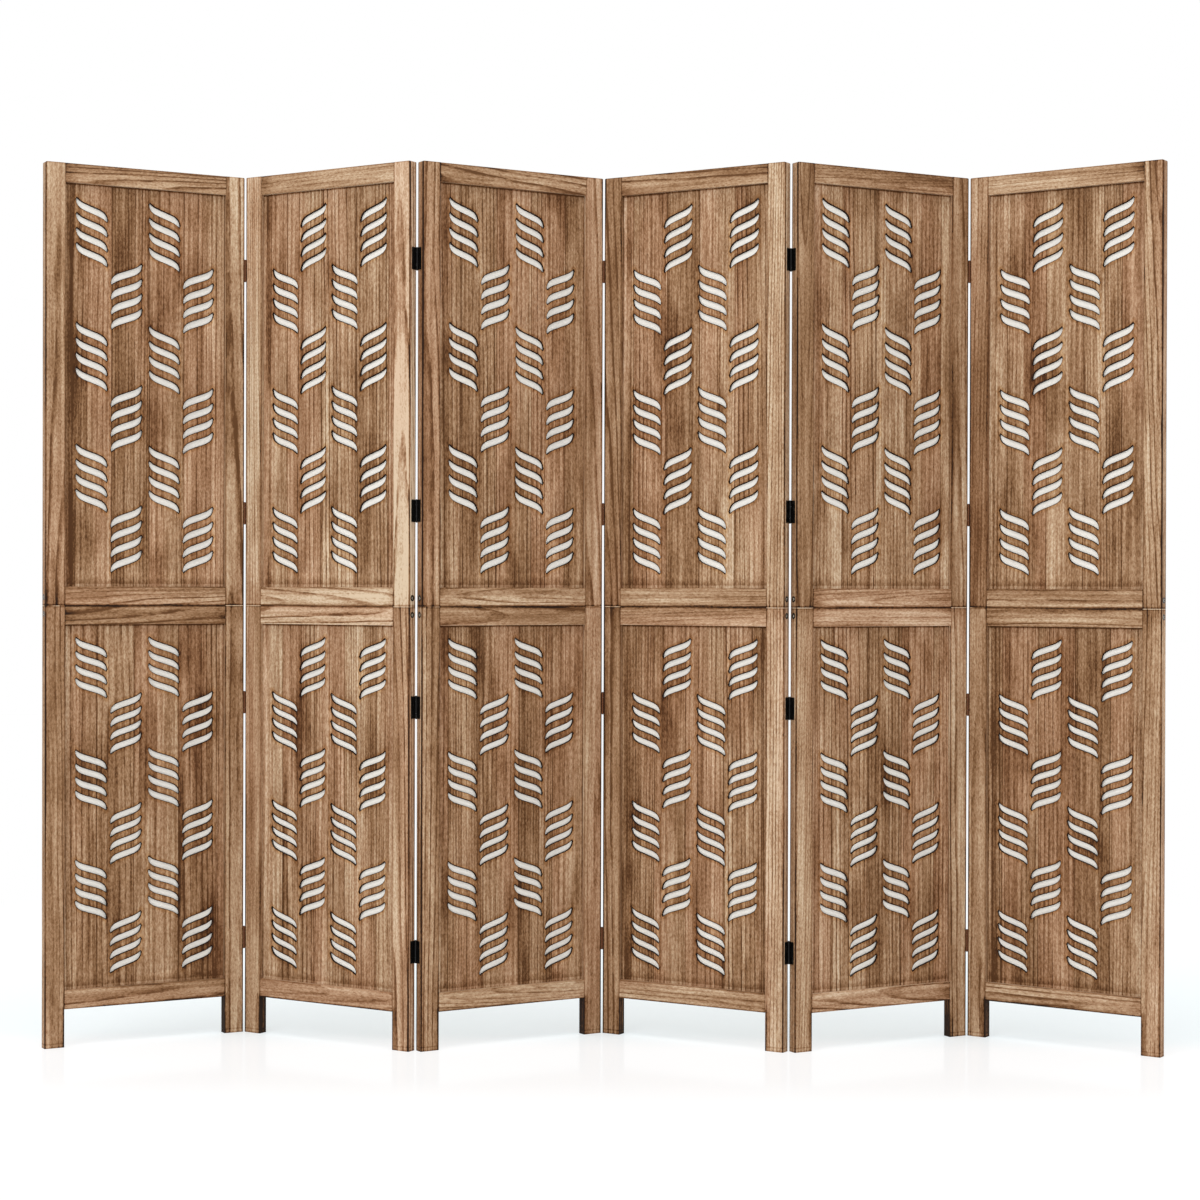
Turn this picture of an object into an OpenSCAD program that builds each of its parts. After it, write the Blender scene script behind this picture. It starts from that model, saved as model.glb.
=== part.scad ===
// Six-leaf wooden folding screen. Each leaf is an upper and a lower framed section, with a
// board cut through by rows of wave-shaped slits and a white cloth behind it. Millimetres, +Z up,
// +X along the screen, front towards -Y, origin on the floor under the middle of the screen.

/* [Leaves] */
// Width of one leaf
leaf_w = 401.5; // [380:0.5:460]
// Thickness of the frame
leaf_t = 20; // [19:0.5:26]
// Height of the lower section, feet included
lower_h = 850; // [780:10:900]
// Height of the upper section
upper_h = 850; // [780:10:900]

/* [Standing angles] */
// How far leaf 1 is turned from the screen's line
leaf_1_turn = 30; // [10:0.5:60]
// How far leaf 2 is turned back
leaf_2_turn = 30; // [10:0.5:60]
// How far leaf 3 is turned
leaf_3_turn = 32.5; // [10:0.5:60]
// How far leaf 4 is turned back
leaf_4_turn = 29.5; // [10:0.5:60]
// How far leaf 5 is turned
leaf_5_turn = 29.5; // [10:0.5:60]
// How far leaf 6 is turned back
leaf_6_turn = 33; // [10:0.5:60]

/* [Frame] */
// Width of a stile
stile_w = 38.75; // [34:0.25:50]
// Height of a rail
rail_h = 36.5; // [36:0.5:48]
// Length of the feet below the bottom rail
foot_h = 73; // [40:1:120]
// Radius of the eased long edges
edge_r = 1; // [1:0.5:3]
// Radius of a stile's rounded outer corner at the top
top_r = 3; // [1:0.5:6]
// Depth of the groove that holds board and cloth
groove_depth = 7; // [5:0.5:8]
// Wood in front of the groove
front_lip = 8; // [6:0.5:9]
// Spare depth in the groove around the board
board_gap = 1; // [0.5:0.5:2]
// Spare width in the groove behind the cloth
groove_play = 0.2; // [0.1:0.1:0.5]
// Length of a rail's tenon
tenon_l = 22; // [15:1:26]
// Thickness of a tenon
tenon_t = 8; // [6:0.5:10]
// Height of the shoulder above and below a tenon
tenon_shoulder = 8.5; // [8.5:0.5:11]
// Glue room around a tenon
tenon_play = 0.1; // [0.05:0.05:0.3]

/* [Boards and cloth] */
// Thickness of a board
board_t = 4; // [3:0.5:5]
// Thickness of the cloth
cloth_t = 0.8; // [0.5:0.1:1]
// How far the cloth ends inside the board's edge
cloth_inset = 1; // [0:0.5:4]

/* [Slits] */
// Rows of slit groups on a board
slit_rows = 6; // [3:1:6]
// Slits in one group
group_slits = 4; // [2:1:4]
// Plain board at the left and right of the slits
side_margin = 23; // [18:1:32]
// Plain board above and below the slits in the upper section
upper_margin = 33.5; // [20:0.5:50]
// Plain board above and below the slits in the lower section
lower_margin = 31; // [20:0.5:45]
// Wood between two neighbouring columns
column_gap = 7; // [5:0.5:14]
// Wood between the left and the right half of a board
middle_gap = 14; // [8:1:24]
// Extra wood between one row of groups and the next
row_gap = 2.8; // [0:0.2:8]
// Upright width of a slit in the upper section
slit_w = 13.2; // [9:0.2:15]
// Fall of a slit's straight run from end to end
slit_fall = 22; // [16:1:26]
// Further fall of the hooked tips
slit_hook = 14.6; // [8:0.2:18]

/* [Hinges] */
// Height of a hinge
hinge_h = 43; // [36:1:60]
// Width of a hinge plate on the stile's edge
plate_w = 14.5; // [12:0.5:16]
// Thickness of a hinge plate
plate_t = 0.8; // [0.8:0.1:1.5]
// Corner radius of a hinge plate
plate_r = 1.5; // [0.5:0.5:3]
// Gap between two plates when the leaves stand in line
plate_play = 0.2; // [0.1:0.1:0.6]
// Outer diameter of the knuckles
knuckle_d = 4; // [3.8:0.1:5.4]
// Height of the middle knuckle
mid_knuckle = 23; // [14:1:26]
// Gap between neighbouring knuckles
knuckle_gap = 0.25; // [0.2:0.05:0.5]
// Diameter of the hinge pin
pin_d = 2; // [1.8:0.1:2.8]
// Radial play of the pin in its knuckles
pin_play = 0.04; // [0.02:0.01:0.08]
// Diameter of the pin's heads
pin_head_d = 3.4; // [3:0.1:4.2]
// Height of the pin's heads
pin_head_h = 0.8; // [0.5:0.1:1.5]
// Lowest hinges: centre above the floor
hinge_from_floor = 189; // [140:1:260]
// Hinges next below the joint of the sections: centre below it
hinge_below_joint = 193; // [120:1:240]
// Hinges next above that joint: centre above it
hinge_above_joint = 183; // [120:1:240]
// Topmost hinges: centre below the top
hinge_from_top = 185; // [120:1:240]

/* [Hinge screws] */
// Distance of a screw from the middle of the hinge
screw_rise = 13; // [11:0.5:14]
// Distance of a screw from the face that the hinge folds to
screw_in = 8; // [6:0.5:9]
// Shank diameter
screw_d = 2.6; // [2:0.1:3]
// Head diameter
screw_head_d = 5; // [4:0.1:5.5]
// Height of the countersunk head
screw_head_h = 1.2; // [0.8:0.1:1.6]
// Length of a screw with its head
screw_l = 14; // [10:1:20]
// Width of the cross slots
screw_slot_w = 0.7; // [0.5:0.1:1]
// Play around a screw
screw_play = 0.06; // [0.04:0.01:0.15]

/* [Section connectors] */
// Diameter of a cam lock
cam_d = 12; // [10:0.5:13]
// Depth of a cam lock
cam_h = 10; // [8:0.5:12]
// Distance of a cam's middle from the joint of the sections
cam_rise = 16; // [14:1:24]
// Width of the screwdriver slot in a cam
cam_slot_w = 1.4; // [1:0.1:2]
// Depth of that slot
cam_slot_depth = 1.6; // [1:0.1:2.5]
// Diameter of the bolt between two cams
bolt_d = 5; // [4:0.5:6]
// Diameter of a dowel
dowel_d = 8; // [6:0.5:8]
// Length of a dowel
dowel_l = 40; // [30:1:44]
// Distance of a dowel from the stile
dowel_in = 52; // [30:1:100]
// Play around cams, bolts and dowels
fastener_play = 0.1; // [0.05:0.05:0.2]

/* [Hidden] */
LEAVES = 6;
PARTS = [
    "upper_stiles", "lower_stiles", "upper_rails", "lower_rails", "upper_board", "lower_board",
    "cloths", "hinge_plates", "fasteners"
];
$fn = 48;

// Colours
wood = [0.62, 0.46, 0.33];
rail_wood = [0.66, 0.50, 0.37];
board_wood = [0.52, 0.37, 0.26];
cloth_white = [0.86, 0.86, 0.84];
hinge_black = [0.06, 0.06, 0.06];
pin_bronze = [0.22, 0.15, 0.10];
steel = [0.62, 0.62, 0.60];

// Overcut, so that no cut ends on the face it opens
over = 1;
// Flats in each eased corner, and steps along each half of a slit's edge
corner_steps = 4;
slit_steps = 4;

// Frame, grooves and openings
groove_w = board_t + cloth_t + groove_play;
opening_w = leaf_w - 2 * stile_w;
upper_open = upper_h - 2 * rail_h;
lower_open = lower_h - foot_h - 2 * rail_h;
upper_z = lower_h;
total_h = lower_h + upper_h;
board_lap = groove_depth - board_gap;
tenon_h = rail_h - 2 * tenon_shoulder;

// Slits: their length follows the opening, and the lower section presses the pattern flatter
slit_l = (opening_w - 2 * side_margin - 2 * column_gap - middle_gap) / 4;
outer_column = opening_w / 2 - side_margin - slit_l / 2;
inner_column = outer_column - slit_l - column_gap;
upper_band = upper_open - 2 * upper_margin;
hook_power = 5;
tip_power = 14;
// How much lower than evenly spaced each row of groups is cut, from the topmost row down
row_drop = [0, 1.9, 3.6, 2.3, 1.6, 0.2];

// Hinges: the pin stands off the edge by pin_gap, and off the face by pin_offset, which is as
// little as lets the knuckles clear the stile's eased edge. A plate starts clear of the knuckles.
pin_gap = plate_t + plate_play / 2;
edge_clear = 0.12;
pin_offset = sqrt(
    pow(knuckle_d / 2 + edge_clear + edge_r, 2) - pow(pin_gap + edge_r, 2)
) - edge_r;
plate_start = knuckle_d / 2 + knuckle_gap;
end_knuckle = (hinge_h - mid_knuckle) / 2 - knuckle_gap;
hinge_heights = [
    hinge_from_floor,
    lower_h - hinge_below_joint,
    lower_h + hinge_above_joint,
    total_h - hinge_from_top
];

// ---- Where the leaves stand ----
// Leaves and folds are counted from 1. Odd folds close towards the front, even ones to the back.

turns = [leaf_1_turn, -leaf_2_turn, leaf_3_turn, -leaf_4_turn, leaf_5_turn, -leaf_6_turn];

function along(leaf) = [cos(turns[leaf - 1]), sin(turns[leaf - 1])];
function across(leaf) = [-sin(turns[leaf - 1]), cos(turns[leaf - 1])];
function folds_front(fold) = fold % 2 == 1;
function pin_y(fold) = folds_front(fold) ? -pin_offset : leaf_t + pin_offset;

// Lower left front corner of a leaf, and the pin at its right edge, counted from leaf 1's corner
function corner_of(leaf) =
    leaf == 1 ? [0, 0]
    : pin_of(leaf - 1) + pin_gap * along(leaf) - pin_y(leaf - 1) * across(leaf);
function pin_of(fold) =
    corner_of(fold) + (leaf_w + pin_gap) * along(fold) + pin_y(fold) * across(fold);

// Middle of the eased corners of all leaves, which the origin stands under
corners = [
    for (leaf = [1:LEAVES])
        for (x = [edge_r, leaf_w - edge_r])
            for (y = [edge_r, leaf_t - edge_r])
                corner_of(leaf) + x * along(leaf) + y * across(leaf)
];
xs = [for (c = corners) c[0]];
ys = [for (c = corners) c[1]];
middle = [(min(xs) + max(xs)) / 2, (min(ys) + max(ys)) / 2];

module on_leaf(leaf) {
    translate([corner_of(leaf)[0] - middle[0], corner_of(leaf)[1] - middle[1], 0])
        rotate([0, 0, turns[leaf - 1]])
            children();
}

// ---- Shapes ----

// Rectangle from the origin with its four corners eased
function eased_rect(w, h, r) = [
    for (corner = [[w - r, h - r, 0], [r, h - r, 90], [r, r, 180], [w - r, r, 270]])
        for (step = [0:corner_steps])
            let (a = corner[2] + 90 * step / corner_steps)
                [corner[0] + r * cos(a), corner[1] + r * sin(a)]
];

// Extrudes a drawing of a leaf's face backwards from the depth y
module face_extrude(y, depth) {
    translate([0, y + depth, 0])
        rotate([90, 0, 0])
            linear_extrude(depth)
                children();
}

module block(x, y, z) {
    translate([x[0], y[0], z[0]])
        cube([x[1] - x[0], y[1] - y[0], z[1] - z[0]]);
}

// Copies for the left and the right half of a leaf, the right one mirrored
module both_sides() {
    children();
    translate([leaf_w, 0, 0]) mirror([1, 0, 0]) children();
}

// ---- Frame ----

// Groove around an opening from floor height z, open towards the opening
module groove(z, height) {
    block(
        [stile_w - groove_depth, leaf_w - stile_w + groove_depth],
        [front_lip, front_lip + groove_w],
        [z - groove_depth, z + height + groove_depth]
    );
}

// Room for the tenon of a rail whose lower edge is at height z
module mortise(z) {
    block(
        [stile_w - tenon_l - tenon_play, stile_w + over],
        [(leaf_t - tenon_t) / 2 - tenon_play, (leaf_t + tenon_t) / 2 + tenon_play],
        [z + tenon_shoulder - tenon_play, z + rail_h - tenon_shoulder + tenon_play]
    );
}

// Bores for a cam lock at the height of the joint plus side times its rise, and for its bolt
module cam_bores(side) {
    translate([-over, leaf_t / 2, upper_z + side * cam_rise])
        rotate([0, 90, 0])
            cylinder(d = cam_d + 2 * fastener_play, h = cam_h + fastener_play + over);
    translate([cam_h / 2, leaf_t / 2, upper_z - cam_rise])
        cylinder(d = bolt_d + 2 * fastener_play, h = 2 * cam_rise);
}

// Pilot holes for the screws of the hinges on one edge: side 0 is the left edge, 1 the right
module screw_holes(leaf, side, heights) {
    for (z = heights)
        hinge_place(leaf, side, z)
            screw_pair()
                screw_shape(screw_play, over);
}

// What the rounding of a left stile's top outer corner takes off, the top being at height z
module corner_waste(z) {
    face_extrude(-over, leaf_t + 2 * over)
        polygon(concat(
            [
                for (step = [0:corner_steps])
                    let (a = 90 + 90 * step / corner_steps)
                        [top_r + top_r * cos(a), z - top_r + top_r * sin(a)]
            ],
            [[-over, z - top_r], [-over, z + over], [top_r, z + over]]
        ));
}

module stile(z, height, rails_at, side) {
    difference() {
        translate([0, 0, z])
            linear_extrude(height)
                polygon(eased_rect(stile_w, leaf_t, edge_r));
        if (side == 1) corner_waste(z + height);
        groove(rails_at[0] + rail_h, rails_at[1] - rails_at[0] - rail_h);
        for (rail = rails_at) mortise(rail);
        cam_bores(side);
    }
}

module stiles(leaf, z, height, rails_at, side, heights) {
    difference() {
        both_sides() stile(z, height, rails_at, side);
        if (leaf > 1) screw_holes(leaf, 0, heights);
        if (leaf < LEAVES) screw_holes(leaf, 1, heights);
    }
}

module upper_stiles(leaf) {
    color(wood)
        stiles(leaf, upper_z, upper_h, [upper_z, total_h - rail_h], 1,
            [hinge_heights[2], hinge_heights[3]]);
}

module lower_stiles(leaf) {
    color(wood)
        stiles(leaf, 0, lower_h, [foot_h, lower_h - rail_h], -1,
            [hinge_heights[0], hinge_heights[1]]);
}

module rail(z) {
    translate([stile_w, 0, z])
        rotate([90, 0, 90])
            linear_extrude(opening_w)
                polygon(eased_rect(leaf_t, rail_h, edge_r));
    both_sides()
        block(
            [stile_w - tenon_l, stile_w + over],
            [(leaf_t - tenon_t) / 2, (leaf_t + tenon_t) / 2],
            [z + tenon_shoulder, z + tenon_shoulder + tenon_h]
        );
}

module dowels(play) {
    both_sides()
        translate([stile_w + dowel_in, leaf_t / 2, upper_z - dowel_l / 2 - play])
            cylinder(d = dowel_d + 2 * play, h = dowel_l + 2 * play);
}

// The lower and the upper rail of a section, at heights z
module rails(z, opening) {
    color(rail_wood)
        difference() {
            for (rail_z = z) rail(rail_z);
            groove(z[0] + rail_h, opening);
            dowels(fastener_play);
        }
}

module upper_rails() {
    rails([upper_z, total_h - rail_h], upper_open);
}

module lower_rails() {
    rails([foot_h, lower_h - rail_h], lower_open);
}

// ---- Boards and cloth ----

// Half width of a slit, and the height of its middle line, at t from -1 to 1 along it
function slit_half(t) = slit_w / 2 * sqrt(1 - pow(abs(t), tip_power));
function slit_line(t) = -slit_fall / 2 * t - slit_hook / 2 * sign(t) * pow(abs(t), hook_power);

// Places along a slit's edge, close together where its tips bend, and none in its straight middle
function slit_place(step) = sign(step) * (1 - pow(1 - abs(step) / slit_steps, 2));
function slit_edge(side) = [
    for (step = [-slit_steps:slit_steps - 1])
        let (t = side * slit_place(step))
            if (step != 0) [slit_l / 2 * t, slit_line(t) + side * slit_half(t)]
];

// One slit that falls to the right, or to the left where falls is -1
module slit(falls) {
    scale([falls, 1])
        polygon(concat(slit_edge(1), slit_edge(-1)));
}

// All slits of an opening. Groups stand alternately in the columns 1 and 3, falling to the
// right, and in 2 and 4, falling to the left; hand -1 gives the mirror image.
module slit_field(opening, margin, hand) {
    band = opening - 2 * margin;
    flatter = band / upper_band;
    row = band / slit_rows;
    pitch = (row - row_gap * flatter) / group_slits;
    scale([hand, 1])
        for (r = [0:slit_rows - 1])
            for (s = [0:group_slits - 1])
                for (x = r % 2 == 0 ? [-outer_column, inner_column] : [-inner_column, outer_column])
                    translate([
                        x,
                        band / 2 - (r + 0.5) * row - row_drop[r] * flatter
                            + ((group_slits - 1) / 2 - s) * pitch
                    ])
                        scale([1, flatter])
                            slit(r % 2 == 0 ? 1 : -1);
}

module board(leaf, z, opening, margin) {
    color(board_wood)
        translate([leaf_w / 2, 0, z + opening / 2])
            face_extrude(front_lip, board_t)
                difference() {
                    square([opening_w + 2 * board_lap, opening + 2 * board_lap], center = true);
                    slit_field(opening, margin, leaf % 2 == 1 ? 1 : -1);
                }
}

module upper_board(leaf) {
    board(leaf, upper_z + rail_h, upper_open, upper_margin);
}

module lower_board(leaf) {
    board(leaf, foot_h + rail_h, lower_open, lower_margin);
}

module cloth(z, opening) {
    lap = board_lap - cloth_inset;
    block(
        [stile_w - lap, leaf_w - stile_w + lap],
        [front_lip + board_t, front_lip + board_t + cloth_t],
        [z - lap, z + opening + lap]
    );
}

module cloths() {
    color(cloth_white) {
        cloth(upper_z + rail_h, upper_open);
        cloth(foot_h + rail_h, lower_open);
    }
}

// ---- Hinges ----

// Moves a hinge half, drawn around its pin with the stile at -x and the plate towards +y, to
// a leaf's left (side 0) or right (side 1) edge at height z
module hinge_place(leaf, side, z) {
    fold = leaf - 1 + side;
    translate([side == 1 ? leaf_w + pin_gap : -pin_gap, pin_y(fold), z])
        scale([side == 1 ? 1 : -1, folds_front(fold) ? 1 : -1, 1])
            children();
}

// A screw along +x from the plate's outer face into the stile, grown by play, cut above the head
module screw_shape(play, above) {
    translate([pin_gap - plate_play / 2, 0, 0])
        mirror([1, 0, 0])
            rotate([0, 90, 0]) {
                cylinder(d1 = screw_head_d + 2 * play, d2 = screw_d + 2 * play, h = screw_head_h);
                cylinder(d = screw_d + 2 * play, h = screw_l + play);
                if (above > 0)
                    translate([0, 0, -above])
                        cylinder(d = screw_head_d + 2 * play, h = above);
            }
}

// The two screw places of a hinge half
module screw_pair() {
    for (rise = [-screw_rise, screw_rise])
        translate([-pin_gap, pin_offset + screw_in, rise])
            children();
}

module knuckles(side, d) {
    heights = side == 1
        ? [[-hinge_h / 2, end_knuckle], [hinge_h / 2 - end_knuckle, end_knuckle]]
        : [[-mid_knuckle / 2, mid_knuckle]];
    for (h = heights)
        translate([0, 0, h[0]]) {
            cylinder(d = d, h = h[1]);
            translate([-pin_gap, 0, 0])
                cube([plate_t, plate_start + plate_r + over, h[1]]);
        }
}

module hinge_half(side) {
    difference() {
        union() {
            translate([-pin_gap, plate_start, -hinge_h / 2])
                rotate([90, 0, 90])
                    linear_extrude(plate_t)
                        polygon(eased_rect(pin_offset + plate_w - plate_start, hinge_h, plate_r));
            knuckles(side, knuckle_d);
        }
        translate([0, 0, -hinge_h / 2 - over])
            cylinder(d = pin_d + 2 * pin_play, h = hinge_h + 2 * over);
        screw_pair() screw_shape(screw_play, over);
    }
}

module hinge_plates(leaf) {
    color(hinge_black)
        for (z = hinge_heights) {
            if (leaf > 1) hinge_place(leaf, 0, z) hinge_half(0);
            if (leaf < LEAVES) hinge_place(leaf, 1, z) hinge_half(1);
        }
}

module pin() {
    translate([0, 0, -hinge_h / 2])
        cylinder(d = pin_d, h = hinge_h);
    for (z = [-hinge_h / 2 - pin_head_h, hinge_h / 2])
        translate([0, 0, z])
            cylinder(d = pin_head_d, h = pin_head_h);
}

module fold_pins(fold) {
    color(pin_bronze)
        for (z = hinge_heights)
            hinge_place(fold, 1, z)
                pin();
}

// ---- Screws, cams, bolts and dowels ----

module screw() {
    difference() {
        screw_shape(0, 0);
        translate([plate_t, 0, 0])
            for (turn = [0, 90])
                rotate([turn, 0, 0])
                    cube([screw_head_h, screw_slot_w, 0.7 * screw_head_d], center = true);
    }
}

module edge_screws(leaf, side) {
    for (z = hinge_heights)
        hinge_place(leaf, side, z)
            screw_pair()
                screw();
}

module cam(side) {
    translate([0, leaf_t / 2, upper_z + side * cam_rise])
        difference() {
            rotate([0, 90, 0])
                cylinder(d = cam_d, h = cam_h);
            translate([cam_h / 2, 0, side == 1 ? -cam_d : 0])
                cylinder(d = bolt_d + 2 * fastener_play, h = cam_d);
            for (turn = [0, 90])
                rotate([turn, 0, 0])
                    cube([2 * cam_slot_depth, cam_slot_w, 0.6 * cam_d], center = true);
        }
}

module bolt() {
    translate([cam_h / 2, leaf_t / 2, upper_z - cam_rise + fastener_play])
        cylinder(d = bolt_d, h = 2 * (cam_rise - fastener_play));
}

module fasteners(leaf) {
    color(steel) {
        if (leaf > 1) edge_screws(leaf, 0);
        if (leaf < LEAVES) edge_screws(leaf, 1);
        both_sides() {
            cam(1);
            cam(-1);
            bolt();
        }
    }
    color(wood) dowels(0);
}

// ---- The screen ----

for (leaf = [1:LEAVES]) {
    name = str("leaf_", leaf, "_");
    on_leaf(leaf) upper_stiles(leaf);
    on_leaf(leaf) lower_stiles(leaf);
    on_leaf(leaf) upper_rails();
    on_leaf(leaf) lower_rails();
    on_leaf(leaf) upper_board(leaf);
    on_leaf(leaf) lower_board(leaf);
    on_leaf(leaf) cloths();
    on_leaf(leaf) hinge_plates(leaf);
    on_leaf(leaf) fasteners(leaf);
}
for (fold = [1:LEAVES - 1])
    on_leaf(fold) fold_pins(fold);
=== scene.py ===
"""Six-leaf folding screen in scorched wood, with wave-slit boards over white cloth.

The packed CAD model is the frame. This script makes the pierced boards and their cloths, gives
every piece of wood and metal its finish, and sets up the studio. Metres, in the CAD's own frame.
"""

import math

import bpy
from bpy.props import (
    FloatProperty,
    FloatVectorProperty,
    IntProperty,
    PointerProperty,
)
from mathutils import Matrix, Vector


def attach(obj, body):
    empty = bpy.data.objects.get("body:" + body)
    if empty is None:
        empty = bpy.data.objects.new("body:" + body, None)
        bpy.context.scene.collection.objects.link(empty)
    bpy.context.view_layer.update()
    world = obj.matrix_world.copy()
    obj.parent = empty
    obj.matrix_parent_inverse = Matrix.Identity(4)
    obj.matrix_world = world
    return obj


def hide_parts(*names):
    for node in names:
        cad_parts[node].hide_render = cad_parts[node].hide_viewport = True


bl_info = {
    "name": "Folding Screen",
    "version": (1, 0, 0),
    "blender": (4, 5, 0),
    "location": "View3D > Sidebar > Folding Screen",
    "description": "Boards, cloths, finishes and studio of a six-leaf folding screen",
    "category": "Object",
}

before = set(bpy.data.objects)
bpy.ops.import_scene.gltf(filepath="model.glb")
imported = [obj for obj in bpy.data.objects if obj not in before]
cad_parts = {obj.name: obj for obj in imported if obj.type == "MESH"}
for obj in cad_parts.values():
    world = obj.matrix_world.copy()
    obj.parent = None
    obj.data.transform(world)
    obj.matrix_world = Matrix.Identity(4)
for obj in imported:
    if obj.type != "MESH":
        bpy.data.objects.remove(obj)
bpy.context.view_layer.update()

MM = 0.001
LEAVES = range(1, 7)
SECTIONS = ("upper", "lower")

# Degrees that each leaf is turned from the screen's line, as the CAD source sets them
LEAF_TURNS = (30, -30, 32.5, -29.5, 29.5, -33)
# Powers in the slits' formula, as in the CAD source: of the hooked tips and of the rounded ends
HOOK_POWER, TIP_POWER = 5, 14
# How much lower than evenly spaced each row of slit groups is cut, from the topmost row down
ROW_DROPS = (0, 1.9 * MM, 3.6 * MM, 2.3 * MM, 1.6 * MM, 0.2 * MM)


def paint(red, green, blue):
    """A colour given in display values from 0 to 255, as Blender's linear colour."""

    def linear(value):
        share = value / 255
        return share / 12.92 if share <= 0.04045 else ((share + 0.055) / 1.055) ** 2.4

    return linear(red), linear(green), linear(blue), 1.0


# ---- Sizes and colours that a user may change ----


def length(name, description, millimetres):
    settings = {"default": millimetres * MM, "subtype": "DISTANCE", "unit": "LENGTH"}
    return FloatProperty(name=name, description=description, **settings)


def colour(name, description, *display):
    settings = {"default": paint(*display), "subtype": "COLOR", "size": 4, "min": 0, "max": 1}
    return FloatVectorProperty(name=name, description=description, **settings)


def angle(name, description, default):
    return FloatProperty(name=name, description=description, default=default, subtype="ANGLE")


def share(name, description, default, high=1.0):
    return FloatProperty(name=name, description=description, default=default, min=0, max=high)


class ScreenFrame(bpy.types.PropertyGroup):
    """Sizes of the leaves' frames, the same as in the CAD source"""

    leaf_width: length("Leaf width", "Width of one leaf", 401.5)
    leaf_depth: length("Leaf thickness", "Thickness of the frame", 20)
    joint_height: length("Joint height", "Height of the joint of the two sections", 850)
    total_height: length("Total height", "Height of the screen", 1700)
    stile_width: length("Stile width", "Width of an upright", 38.75)
    rail_height: length("Rail height", "Height of a cross piece", 36.5)
    foot_height: length("Foot height", "Clear height under the bottom rail", 73)
    front_lip: length("Front lip", "Wood in front of the board", 8)
    pin_gap: length("Pin gap", "Distance of a hinge pin from the stile's edge", 0.9)
    pin_offset: length("Pin offset", "Distance of a hinge pin from the leaf's face", 1.4748)
    eased: length("Eased edge", "Radius of the eased long edges", 1)


class ScreenBoards(bpy.types.PropertyGroup):
    """Sizes of the boards, their slits and the cloth behind them"""

    board_depth: length("Board thickness", "Thickness of a board", 4)
    board_lap: length("Board lap", "How far a board reaches into the groove", 6)
    slit_length: length("Slit length", "Length of one slit from tip to tip", 62.5)
    slit_width: length("Slit width", "Upright width of a slit in the upper section", 13.2)
    slit_fall: length("Slit fall", "Fall of a slit's straight run", 22)
    slit_hook: length("Slit hook", "Further fall of the hooked tips", 14.6)
    outer_column: length("Outer columns", "Outer columns from the middle", 107.75)
    inner_column: length("Inner columns", "Inner columns from the middle", 38.25)
    upper_margin: length("Upper margin", "Plain board above and below the slits", 33.5)
    lower_margin: length("Lower margin", "The same in the lower section", 31)
    row_gap: length("Row gap", "Extra wood between two rows of groups", 2.8)
    rows: IntProperty(name="Rows", description="Rows of slit groups", default=6)
    group: IntProperty(name="Group", description="Slits in one group", default=4)
    rim: length("Rim", "Width of the burnt, broken edge around a slit", 0.45)
    stave_width: length("Stave width", "Usual width of a glued stave", 78)
    cloth_lap: length("Cloth lap", "How far the cloth reaches into the groove", 5)
    cloth_depth: length("Cloth thickness", "Thickness of the cloth", 0.5)
    cloth_slack: length("Cloth slack", "How far the cloth hangs off the board", 1.4)
    thread: length("Thread pitch", "Distance of two threads of the cloth", 0.55)


class ScreenFinishes(bpy.types.PropertyGroup):
    """Colours of the scorched wood, the cloth and the metal"""

    char: colour("Char", "Wood burnt black-brown", 36, 20, 9)
    umber: colour("Umber", "Darkest grain lines", 84, 52, 25)
    brown: colour("Brown", "Dark brown wood", 114, 79, 49)
    honey: colour("Honey", "Middle of the wood's colours", 139, 104, 72)
    tan: colour("Tan", "Light brown wood", 162, 128, 97)
    straw: colour("Straw", "Pale wood", 184, 154, 123)
    cream: colour("Cream", "Palest sapwood", 211, 190, 162)
    toast: colour("Toast", "Tint of the wood scorched between the slits", 255, 244, 222)
    blush: colour("Blush", "Tint of rosy wood", 255, 247, 246)
    # Painted light: the cloth's front is near white to make up for the shade inside the slits, and
    # its back is tinted greyer than the front
    cloth: colour("Cloth", "White cotton", 255, 252, 245)
    cloth_shade: colour("Cloth shade", "Cotton between its threads", 240, 235, 226)
    cloth_back: colour("Cloth back", "Tint of the cotton's greyer back", 236, 235, 232)
    black: colour("Hinge black", "Black paint of the hinges", 17, 16, 15)
    bronze: colour("Pin bronze", "Brown steel of the hinge pins", 74, 56, 42)
    # Painted reflection: the wood's brown as seen in the black knuckles in front of a leaf
    knuckle_reflection: colour("Lacquer", "Brown lacquer of the knuckles in front", 96, 54, 24)
    # Painted shade and painted highlight of the cam locks: a dark bore and a bright middle
    recess_shade: colour("Recess", "Dark ring inside a cam lock", 40, 27, 16)
    shine: colour("Shine", "Bright middle of a cam lock", 238, 232, 216)
    zinc: colour("Zinc", "Plated screws and cam locks", 176, 174, 168)
    wear: share("Wear", "How much paint is worn off the metal's edges", 0.35)


class ScreenStudio(bpy.types.PropertyGroup):
    """Camera, light and floor"""

    camera_place: FloatVectorProperty(
        name="Camera place",
        description="Where the camera stands",
        default=(0.114096, -4.805322, 0.891850),
        subtype="TRANSLATION",
        unit="LENGTH",
    )
    camera_yaw: angle("Yaw", "Turn to the right", -0.024555)
    camera_pitch: angle("Pitch", "Tilt upwards", -0.005999)
    camera_roll: angle("Roll", "Roll to the right", 0.002823)
    lens: FloatProperty(
        name="Lens", description="Focal length in millimetres", default=73.953, min=1
    )
    sky: share("Sky light", "Strength of the even light from all sides", 0.92, 4)
    key: share("Key light", "Power of the lamp at the front left, in watts", 60, 2000)
    overhead: share("Overhead light", "Power of the lamp above the screen, in watts", 120, 2000)
    floor_shine: share("Floor shine", "How much of the floor's look is reflection", 0.07)
    floor_glow: share("Floor glow", "How much of the floor's look is its own white", 0.4)


# ---- Shader maths ----

XYZ = "ShaderNodeSeparateXYZ"


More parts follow.
